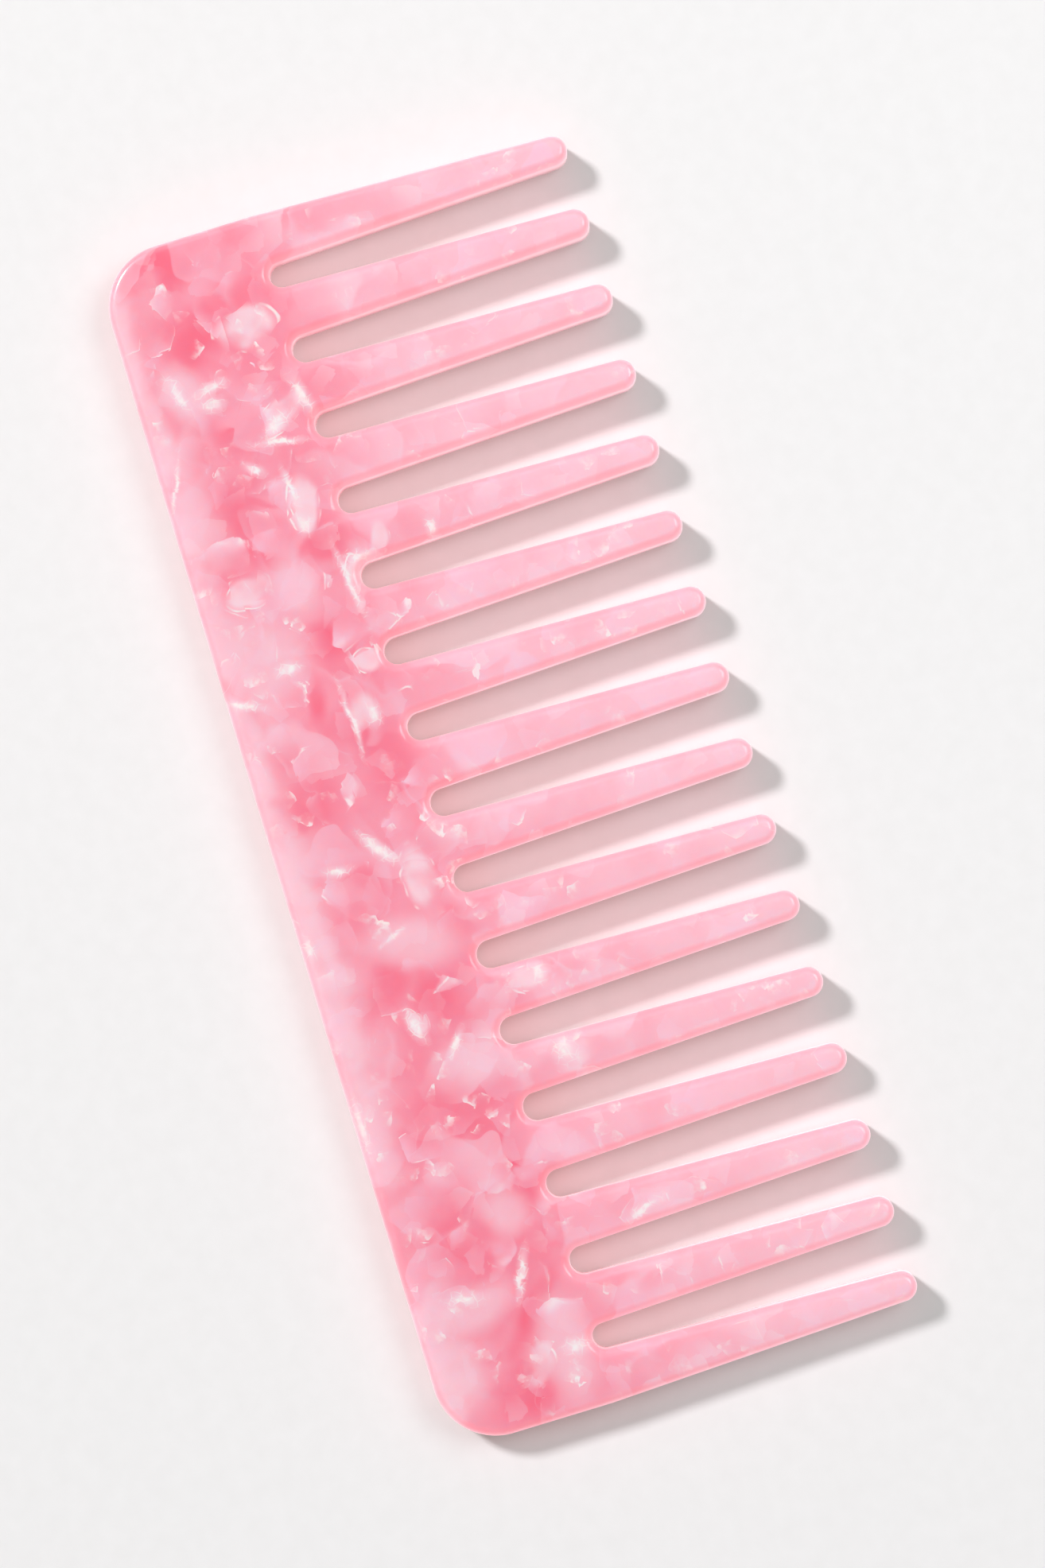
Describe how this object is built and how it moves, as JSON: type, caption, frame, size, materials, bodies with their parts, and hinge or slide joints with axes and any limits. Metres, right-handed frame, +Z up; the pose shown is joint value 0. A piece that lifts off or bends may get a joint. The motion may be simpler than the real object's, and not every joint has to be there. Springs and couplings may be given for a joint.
{
  "type": "wide tooth comb",
  "caption": "Flat handleless comb of marbled pearl acetate: a straight rounded spine with long tapered round-tipped teeth set wide apart along one side.",
  "frame": {"origin": "middle of the comb's box in X and Y, on the flat face that it lies on", "axes": "+X along the comb's length, the teeth point to -Y and the spine's back faces +Y, +Z up through the slab's thickness"},
  "size_m": [0.146, 0.0576, 0.0046],
  "materials": {
    "pearl_acetate": "tumble-polished cellulose acetate, translucent pink with fused pearl chips"
  },
  "bodies": {
    "root": {"comb": "pearl_acetate"}
  },
  "joints": []
}
